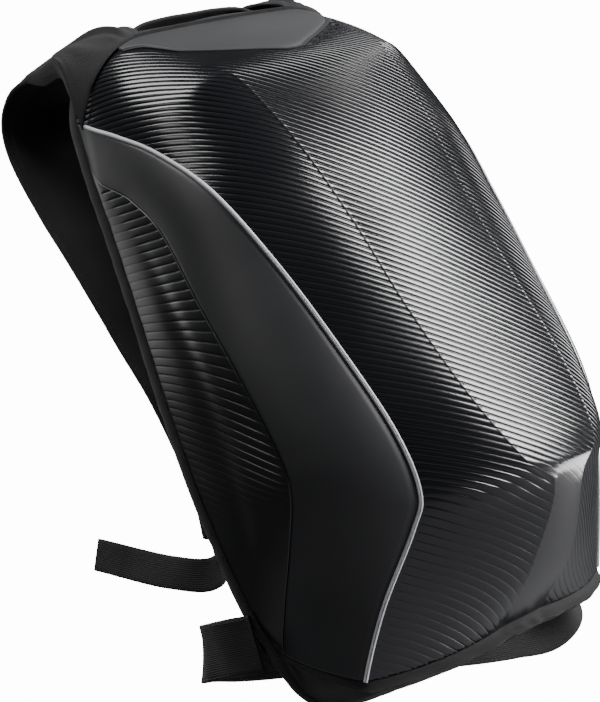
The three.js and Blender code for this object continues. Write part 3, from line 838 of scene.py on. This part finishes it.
def add_back_panel():
    """The padded back: two long pads and a lower pad in spacer mesh, with channels between them."""
    loop, outward = rim_loop()
    shares = np.concatenate([np.linspace(0, 0.9, 46), [0.93, 0.955, 0.975, 0.99, 1.0]])
    centre = np.array((0, 0, loop[:, 2].mean()))
    edge = loop - outward * PANEL_INSET
    points = centre + (edge - centre) * shares[:, None, None]
    x = points[..., 0]
    z = points[..., 2]
    channel = np.exp(-(x / (9 * MM)) ** 2) * smooth_between(z, -0.15, -0.10)
    cross = np.exp(-((z + 0.12) / (7 * MM)) ** 2)
    cross += np.exp(-((z - 0.06) / (7 * MM)) ** 2) * smooth_between(np.abs(x), 0.004, 0.02)
    from_edge = (1 - shares)[:, None] * np.abs(edge - centre).max(axis=1)[None, :]
    border = np.exp(-((from_edge - 16 * MM) / (4 * MM)) ** 2)
    quilt = 0.5 * MM * np.sin(x * 330) * np.sin(z * 330)
    depth = 7 * MM * np.clip(channel + cross, 0, 1) + 2.2 * MM * border
    roll = 7.5 * MM * smooth_between(shares, 0.945, 1.0)[:, None] ** 1.5
    points[..., 1] = -0.3 * MM - depth - roll + quilt * (1 - np.clip(channel + cross + border, 0, 1)) * 0.5
    index = ring_numbers(*points.shape[:2])
    front = edge.copy()
    front[:, 1] = RIM_Y + 0.5 * MM
    count = index.max() + 1
    index = np.vstack([index, np.append(np.arange(len(front)), 0) + count])
    vertices = np.vstack([points.reshape(-1, 3), front])
    coordinates = np.stack([vertices[:, 0], vertices[:, 2]], axis=1)
    faces = grid_faces(index)
    piece = add_mesh("back_panel_padding", vertices, faces, coordinates)
    dress(piece, "mesh", "back_mesh", "back_panel")


# Fabric over the top

COVER_FRONT_ROW = COVER_ROW - 0.04
RIM_SHARE = 0.55


def cover_points(places, shares, lift):
    """Points of the cover over the top: shares run from its front edge over the rim to the back edge."""
    rows = np.interp(shares, [0, RIM_SHARE], [COVER_FRONT_ROW, TOP_ROW])
    grid_rows, grid_places = grid_of(rows, places)
    points = raised(grid_rows, grid_places, np.full(grid_rows.shape, lift)).reshape(*grid_rows.shape, 3)
    rim = skin(np.full(places.shape, TOP_ROW), places)
    normals = skin_normals(np.full(places.shape, TOP_ROW), places)
    normals[:, 1] = 0
    outward = unit(normals)
    over = shares > RIM_SHARE
    back = np.interp(shares[over], [RIM_SHARE, 1], [RIM_Y, -0.5 * MM])
    points[over] = (rim + outward * lift)[None] * (1, 0, 1) + np.array((0, 1, 0)) * back[:, None, None]
    return points, outward


def add_cloth(name, top, low, slant):
    """A closed cloth piece between two grids of points. Its weave follows y, and z times the slant."""
    coordinates = np.stack([top[..., 0], top[..., 1] + slant * top[..., 2]], axis=-1).reshape(-1, 2)
    rows, columns = top.shape[:2]
    upper = np.arange(rows * columns).reshape(rows, columns)
    lower = upper + rows * columns
    faces = grid_faces(upper) + grid_faces(lower[:, ::-1])
    border = list(upper[0]) + list(upper[1:, -1]) + list(upper[-1, -2::-1]) + list(upper[-2:0:-1, 0])
    for a, b in zip(border, border[1:] + border[:1]):
        faces.append([int(b), int(a), int(a) + rows * columns, int(b) + rows * columns])
    vertices = np.vstack([top.reshape(-1, 3), low.reshape(-1, 3)])
    return add_mesh(name, vertices, faces, np.vstack([coordinates, coordinates]), 60)


def add_top_band():
    """The fabric band between the yokes, from the plate's upper edge over the rim."""
    places = np.linspace(-1.25, 1.25, 70)
    shares = np.linspace(0, 1, 40)
    top, outward = cover_points(places, shares, COVER_LIFT + COVER_WALL)
    low, _ = cover_points(places, shares, COVER_LIFT)
    wave = 0.8 * MM * np.sin(places * 5 + shares[:, None] * 6) * np.sin(shares[:, None] * 9)
    lift = smooth_between(np.minimum(shares, 1 - shares), 0, 0.1)[:, None] * wave
    top += outward[None] * lift[..., None]
    dress(add_cloth("top_band_cloth", top, low, 1), "fabric", "fabric", "top_band")


YOKE_FOLD_SHARE = 0.6
YOKE_RIDGE = -12 * MM
YOKE_BACK = 26 * MM
YOKE_INNER_X = -64 * MM
YOKE_OUTER_X = -139 * MM

# The yoke's outer edge, wrapped round the strap's side, in millimetres. Columns: step out, step down.
YOKE_SKIRT = [(1.3, 0.8), (0.9, 2.2), (0.3, 3.2), (-0.3, 3.6), (-0.9, 4.0)]


def yoke_sheet(places, shares, lift):
    """The yoke: it rises from the shell's edge to a fold and lies over the strap's root."""
    edge_rows = COVER_FRONT_ROW - 0.2 * smooth_between(-places, 2.6, 2.95)
    edge = raised(edge_rows, places, np.full(places.shape, COVER_LIFT + lift))
    x = np.interp(-places, [1.0, 2.95], [YOKE_INNER_X, YOKE_OUTER_X])
    middle = strap_middles()[4]
    crown = 1.6 * MM + 4.6 * MM * pad_crown((x - middle[0]) / (STRAP_WIDTH / 2))
    z = middle[2] + STRAP_ROOT_SIDE[2] * (x - middle[0]) + crown + 0.4 * MM + lift
    ridge = np.stack([x, np.full(x.shape, YOKE_RIDGE), z + 1.5 * MM], axis=1)
    back = np.stack([x, np.full(x.shape, YOKE_BACK), z + 0.6 * MM], axis=1)
    first = edge + (ridge - edge) * (0, 0.1, 0.55)
    second = ridge - (0, 16 * MM, 0)
    points = []
    for at in shares:
        if at < YOKE_FOLD_SHARE:
            s = at / YOKE_FOLD_SHARE
            near = edge * (1 - s) ** 3 + first * 3 * s * (1 - s) ** 2
            points.append(near + second * 3 * s ** 2 * (1 - s) + ridge * s ** 3)
        else:
            points.append(ridge + (back - ridge) * (at - YOKE_FOLD_SHARE) / (1 - YOKE_FOLD_SHARE))
    return np.array(points)


def add_yokes():
    """The fabric yokes over the straps' roots, each with one sharp fold and a wrapped outer edge."""
    places = np.linspace(-3.06, -1.02, 64)
    shares = np.linspace(0, 1, 52)
    top = yoke_sheet(places, shares, 1.6 * MM)
    low = yoke_sheet(places, shares, 0.1 * MM)
    at = shares[:, None]
    ridge = np.exp(-((places + 1.45 + 0.75 * at) / 0.13) ** 2) * smooth_between(at, 0, 0.2)
    small = np.sin(places * 13 + at * 7) * np.sin(at * 8 + places * 3)
    free = smooth_between(np.minimum(at, 1 - at), 0, 0.12)
    top += np.array((-0.2, -0.3, 0.93)) * ((4.2 * MM * ridge + 0.8 * MM * small) * free)[..., None]
    drop = smooth_between(at, 0.05, 0.35) * smooth_between(1 - at, -0.05, 0.3)
    for out, down in YOKE_SKIRT:
        step = np.stack([-out * drop[:, 0], 0 * shares, -down * drop[:, 0]], axis=1) * MM
        top = np.concatenate([top[:, :1] + step[:, None], top], axis=1)
        low = np.concatenate([low[:, :1] + step[:, None], low], axis=1)
    dress_pair(add_cloth("yoke_cloth_left", top, low, -1), "fabric", "fabric", "yoke")
    upward = np.tile((0.0, 0.0, 1.0), (len(places), 1))
    lines = [(top[row, len(YOKE_SKIRT):], upward) for row in (-3, -5)]
    add_stitch_pair("yoke_stitches", lines, YOKE_STITCH)


# Shoulder straps, locks and webbing

STRAP_WIDTH = 80 * MM
STRAP_LOWER_WIDTH = 48 * MM
STRAP_THICKNESS = 12 * MM
STRAP_REACH = 74 * MM
STRAP_SET_OUT = 97 * MM
STRAP_STEPS = 150
STRAP_OVER_RIM = 1 * MM
COVER_BACK = -1 * MM
GAP = 0.3 * MM
STRAP_ROOT_SIDE = (1, 0, 0.14)

# Route of a shoulder strap. Columns: out sideways in % of the set-out, back in % of the reach,
# up in % of half the height.
STRAP_ROUTE = [
    (103, 18, 102), (105, 46, 101), (105, 68, 96.5), (105, 80, 90.5), (105, 84, 82),
    (105, 72, 63), (106, 58, 50), (108, 42, 32), (110, 34, 20), (114, 18, 3),
    (118, 10, -12), (123, 3, -27), (132, 1, -42),
]


def strap_middles():
    """The middle of the left shoulder strap, from its root to its foot."""
    on_panel = STRAP_THICKNESS / 2 + GAP
    top_of_rim = line_points(SHOULDER_LINE, np.array([float(TOP_ROW)]))[0, 2]
    points = np.array(STRAP_ROUTE) / 100 * (-STRAP_SET_OUT, STRAP_REACH, HALF_HEIGHT) + (0, on_panel, 0)
    root = (points[0, 0], COVER_BACK + 4 * GAP, top_of_rim + STRAP_THICKNESS / 2 + STRAP_OVER_RIM)
    return route_points(np.vstack([root, points]), STRAP_STEPS)


def add_shoulder_straps():
    """The padded straps with stitched edges and small folds at their bend."""
    middles = strap_middles()
    at = np.linspace(0, 1, len(middles))
    widths = STRAP_WIDTH + (STRAP_LOWER_WIDTH - STRAP_WIDTH) * smooth_between(at, 0.5, 1)
    sides = webbing_sides(len(middles), STRAP_ROOT_SIDE, (1, 0, 0), 0.1, 0.35)

    def folds(at, share, height):
        bend = np.exp(-((at - 0.33) / 0.13) ** 2)
        inside = np.where(height < 0, 1, 0.3)
        crease = np.sin(at * 150 + share * 1.5) * 0.5 + np.sin(at * 97 - share * 2.2) * 0.5
        return 0.7 * MM * bend * inside * crease * (1 - share ** 2)

    section = padded_section(STRAP_THICKNESS * 0.97, 3.2 * MM)
    left = add_band("shoulder_strap_pad_left", middles, sides, widths, section, lifts=folds)
    for strap in dress_pair(left, "fabric", "fabric", "shoulder_strap"):
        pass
    lines = edge_lines(middles, sides, 0.925 * widths / 2, 1.75 * MM, 3)
    add_stitch_pair("strap_stitches", lines, STRAP_STITCH)
    return middles


LOCK_WIDTH = 33 * MM
LOCK_HEIGHT = 20 * MM
LOCK_THICKNESS = 6 * MM
LOCK_RAIL = 4.4 * MM

# Bars of a lock. Columns: place along it from -1 to 1, width and depth in millimetres.
LOCK_BARS = [(-0.86, 4.2, 5.2), (0.0, 3.6, 4.0), (0.86, 4.2, 5.2)]

WEBBING_WIDTH = 25 * MM
WEBBING_WALL = 2 * MM
TAIL_REACH = 130 * MM


def rounded_bar(start, end, width, depth, face, points=10):
    """Sections of a rounded bar from start to end."""
    way = unit(end - start)
    side = unit(np.cross(face, way))
    loop = []
    for angle in np.linspace(0, 2 * math.pi, points, endpoint=False):
        c = math.copysign(abs(math.cos(angle)) ** 0.6, math.cos(angle))
        s = math.copysign(abs(math.sin(angle)) ** 0.6, math.sin(angle))
        loop.append(side * c * width / 2 + face * s * depth / 2)
    loop = np.array(loop)
    bevel = way * 0.6 * MM
    return np.array([start + loop * 0.8, start + bevel + loop, end - bevel + loop, end + loop * 0.8])


def add_locks(middle, way, side, face):
    """A ladder lock: two side rails joined by three bars."""
    verts = []
    faces = []
    parts = []
    for sign in (-1, 1):
        centre = middle + side * sign * (LOCK_WIDTH - LOCK_RAIL) / 2
        low = centre - way * LOCK_HEIGHT / 2
        high = centre + way * LOCK_HEIGHT / 2
        parts.append(rounded_bar(low, high, LOCK_RAIL, LOCK_THICKNESS * 0.92, face))
    for place, width, depth in LOCK_BARS:
        centre = middle + way * place * (LOCK_HEIGHT / 2 - 1.4 * MM)
        reach = side * (LOCK_WIDTH / 2 - 1.5 * MM)
        parts.append(rounded_bar(centre - reach, centre + reach, width * MM, depth * MM, face))
    for part in parts:
        start = len(verts)
        rows, columns = part.shape[:2]
        faces += grid_faces(ring_numbers(rows, columns, start))
        faces.append(list(range(start + columns - 1, start - 1, -1)))
        faces.append(list(range(start + (rows - 1) * columns, start + rows * columns)))
        verts += list(part.reshape(-1, 3))
    left = add_mesh("ladder_lock_frame_left", verts, faces, None, 40)
    dress_pair(left, "plastic", "plastic", "ladder_lock")


def webbing_sides(count, first, last, low, high):
    """Side directions that turn from the first to the last between two shares of the way."""
    at = smooth_between(np.linspace(0, 1, count), low, high)[:, None]
    return np.asarray(first, float) * (1 - at) + np.asarray(last, float) * at


def add_webbing(strap):
    """The locks, the webbing from them to the lower corners, and the free tails."""
    foot = strap[-1]
    way = unit(strap[-1] - strap[-2])
    side = unit(np.array((1.0, 0, 0)) - way * way[0])
    face = np.cross(way, side)
    lock = foot + way * (GAP + LOCK_HEIGHT / 2)
    add_locks(lock, way, side, face)
    start = lock + way * (LOCK_HEIGHT / 2 + 2 * GAP)
    on_panel = WEBBING_WALL / 2 + GAP
    pad = STRAP_THICKNESS / 2 + GAP
    points = [
        start, start + way * LOCK_HEIGHT / 3,
        (-HALF_WIDTH * 0.81, on_panel + pad / 3, -HALF_HEIGHT * 0.64),
        (-HALF_WIDTH * 0.79, on_panel, -HALF_HEIGHT * 0.75),
    ]
    middles = route_points(points, 40)
    section = flat_section(WEBBING_WALL * 0.9)
    sides = np.tile((1.0, 0.0, 0.0), (len(middles), 1))
    left = add_band("lower_webbing_band_left", middles, sides, WEBBING_WIDTH, section)
    dress_pair(left, "webbing", "webbing", "lower_webbing")
    behind = LOCK_THICKNESS / 2 + 3 * GAP + WEBBING_WALL / 2
    root = lock + np.array((0, behind, LOCK_HEIGHT / 4))
    points = [
        root,
        root + (-1 * MM, WEBBING_WALL, -LOCK_HEIGHT / 2),
        root + (-5 * MM, TAIL_REACH * 0.16, -LOCK_HEIGHT * 0.8),
        root + (-11 * MM, TAIL_REACH * 0.42, -LOCK_HEIGHT * 0.25),
        root + (-12 * MM, TAIL_REACH, LOCK_HEIGHT * 1.4),
    ]
    middles = route_points(points, 90)
    sides = webbing_sides(90, (1, 0, 0), (0.36, -0.36, 0.86), 0.08, 0.45)

    def flutter(at, share, height):
        hem = 0.5 * MM * smooth_between(at, 0.9, 0.93) * np.sign(height)
        return hem + 1.2 * MM * np.sin(at * 17) * smooth_between(at, 0.3, 0.6) * (0.4 + 0.6 * share)

    left = add_band("webbing_tail_band_left", middles, sides, WEBBING_WIDTH, section, lifts=flutter)
    dress_pair(left, "webbing", "webbing", "webbing_tail")


BELT_WIDTH = 42 * MM
BELT_WALL = 2.8 * MM
BELT_REACH = 62 * MM

# Route of the hip belt. Columns: across in % of half the width, back in % of the reach,
# up in % of half the height.
BELT_ROUTE = [
    (-97.5, -26, -72), (-99.2, 7, -71), (-98.5, 40, -70.5), (-95, 74, -70.5), (-87, 96, -71.5),
    (-70, 100, -75), (-42, 86, -80), (0, 74, -88), (42, 58, -97), (76, 30, -103), (95, 2, -105),
    (105, -32, -98), (103, -38, -87), (96, -27, -76),
]


def add_hip_belt():
    """The slack hip belt, a whole loop that leans out on the left and turns flat on the right."""
    middles = route_points(np.array(BELT_ROUTE) / 100 * (HALF_WIDTH, BELT_REACH, HALF_HEIGHT), 220)
    at = np.linspace(0, 1, len(middles))[:, None]
    lean = smooth_between(at, 0.08, 0.25) * (1 - smooth_between(at, 0.35, 0.5))
    turn = smooth_between(at, 0.7, 0.92)
    sides = np.array((0, 0, 1.0)) * (1 - lean) + np.array((0, -0.5, 0.87)) * lean
    sides = sides * (1 - turn) + np.array((0, -1, 0.15)) * turn

    def sag(at, share, height):
        return 0.8 * MM * np.sin(at * 23) * share + 0.5 * MM * np.sin(at * 41) * (1 - share ** 2)

    section = flat_section(BELT_WALL * 0.9, 13, 0.04)
    piece = add_band("hip_belt_band", middles, sides, BELT_WIDTH, section, lifts=sag)
    dress(piece, "webbing", "webbing", "hip_belt")
    lines = edge_lines(middles, sides, 0.9 * BELT_WIDTH / 2, BELT_WALL * 0.45, 4)
    add_stitches("belt_stitches", lines, BELT_STITCH, "webbing")


HANDLE_SPAN = 168 * MM
HANDLE_RISE = 9 * MM
HANDLE_WIDTH = 24 * MM
HANDLE_WALL = 3 * MM

# Rise of the grab handle. Columns: share of half the span, share of the rise.
HANDLE_ROUTE = [
    (-1, 0), (-0.86, 0), (-0.62, 0.75), (-0.3, 1), (0, 1), (0.3, 1), (0.62, 0.75), (0.86, 0), (1, 0),
]


def add_grab_handle():
    """The webbing handle over the top band, stitched along both edges."""
    rim = line_points(PANEL_CREASE, np.array([float(TOP_ROW)]))[0, 2]
    seat = rim + COVER_LIFT + COVER_WALL + 2 * GAP + HANDLE_WALL / 2
    middle_y = COVER_BACK - HANDLE_WIDTH / 2
    points = [(a * HANDLE_SPAN / 2, middle_y, seat + rise * HANDLE_RISE) for a, rise in HANDLE_ROUTE]
    middles = route_points(points, 110)
    sides = np.tile((0.0, 1.0, 0.0), (len(middles), 1))
    piece = add_band("grab_handle_band", middles, sides, HANDLE_WIDTH, flat_section(HANDLE_WALL * 0.9))
    dress(piece, "webbing", "webbing", "grab_handle")
    upward = np.tile((0.0, 0.0, 1.0), (len(middles), 1))
    lift = upward * HANDLE_WALL * 0.45
    lines = [(middles + sides * edge * HANDLE_WIDTH / 2 + lift, upward) for edge in (-0.85, 0.85)]
    add_stitches("handle_stitches", lines, HANDLE_STITCH, "webbing")


# Camera, lights and floor

VIEW_AZIMUTH = -44.4
VIEW_ELEVATION = -3.0
VIEW_ROLL = 21.5
VIEW_DISTANCE = 1.763
VIEW_LENS = 117.4
VIEW_TARGET = (1.4 * MM, 2.9 * MM)


def add_camera():
    """The camera at the photo's angle, turned by its roll."""
    azimuth = math.radians(VIEW_AZIMUTH)
    elevation = math.radians(VIEW_ELEVATION)
    roll = math.radians(VIEW_ROLL)
    level = math.cos(elevation)
    back = Vector((math.sin(azimuth) * level, -math.cos(azimuth) * level, math.sin(elevation)))
    right = Vector((math.cos(azimuth), math.sin(azimuth), 0))
    up = back.cross(right)
    place = right * VIEW_TARGET[0] + up * VIEW_TARGET[1] + back * VIEW_DISTANCE
    data = bpy.data.cameras.new("camera")
    data.lens = VIEW_LENS
    data.clip_start = 0.05
    data.clip_end = 60
    camera = add_object("camera", data)
    axes = Matrix((right, up, back)).transposed() @ Matrix.Rotation(-roll, 3, "Z")
    camera.matrix_world = Matrix.Translation(place) @ axes.to_4x4()
    bpy.context.scene.camera = camera


# Softboxes. Columns: name, direction from the bag, distance, width, height, brightness.
SOFTBOXES = [
    ("front softbox", (0.48, -0.82, 0.18), 1.8, 0.95, 0.9, 38.0),
    ("top softbox", (-0.30, -0.15, 0.95), 1.3, 0.7, 0.7, 14.0),
    ("left softbox", (-0.85, -0.25, 0.55), 2.0, 0.6, 0.8, 4.5),
    ("right softbox", (0.70, -0.05, 0.70), 1.8, 0.5, 0.6, 5.0),
    ("low softbox", (0.72, -0.50, -0.48), 1.3, 0.7, 0.4, 16.0),
    ("back softbox", (-0.20, 0.90, 0.55), 2.0, 1.5, 1.5, 3.5),
]


def add_lights():
    """Soft area lights that face the bag."""
    for name, direction, distance, width, height, brightness in SOFTBOXES:
        data = bpy.data.lights.new(name, "AREA")
        data.shape = "RECTANGLE"
        data.size = width
        data.size_y = height
        data.energy = brightness * math.pi * width * height
        light = add_object(name, data)
        way = Vector(direction).normalized()
        light.location = way * distance
        light.rotation_euler = way.to_track_quat("Z", "Y").to_euler()


FLOOR_HEIGHT = -0.85
WORLD_SEEN = 14.0
WORLD_LIGHT = 0.05
FLOOR_GLOW = 5.0


def add_world():
    """A white studio: the camera sees white, and the bag is lit by a dimmer room."""
    world = bpy.data.worlds.new("studio")
    world.use_nodes = True
    nodes = world.node_tree.nodes
    links = world.node_tree.links
    seen = nodes["Background"]
    seen.inputs["Color"].default_value = (1, 1, 1, 1)
    seen.inputs["Strength"].default_value = WORLD_SEEN
    room = nodes.new("ShaderNodeBackground")
    room.inputs["Color"].default_value = (0.86, 0.92, 1, 1)
    room.inputs["Strength"].default_value = WORLD_LIGHT
    ray = nodes.new("ShaderNodeLightPath")
    mix = nodes.new("ShaderNodeMixShader")
    links.new(ray.outputs["Is Camera Ray"], mix.inputs["Fac"])
    links.new(room.outputs["Background"], mix.inputs[1])
    links.new(seen.outputs["Background"], mix.inputs[2])
    links.new(mix.outputs["Shader"], nodes["World Output"].inputs["Surface"])
    bpy.context.scene.world = world


def add_floor():
    """A plain pale floor, as white to the camera as the studio."""
    place = (0, 0, FLOOR_HEIGHT)
    bpy.ops.mesh.primitive_circle_add(vertices=96, radius=3.0, fill_type="NGON", location=place)
    floor = bpy.context.object
    floor.name = "floor"
    surface = Surface("floor", (0.25, 0.25, 0.26), 0.9, 0.1)
    surface.give("Emission Color", (1, 1, 1, 1))
    ray = surface.nodes.new("ShaderNodeLightPath")
    surface.give("Emission Strength", surface.math("MULTIPLY", ray.outputs["Is Camera Ray"], FLOOR_GLOW))
    floor.data.materials.append(surface.material)


add_main_shell()
add_side_panels()
add_side_inserts()
add_piping()
add_top_patch()
add_rim_binding()
add_fabric_bottom()
add_back_panel()
add_top_band()
add_yokes()
add_webbing(add_shoulder_straps())
add_hip_belt()
add_grab_handle()
add_camera()
add_lights()
add_world()
add_floor()
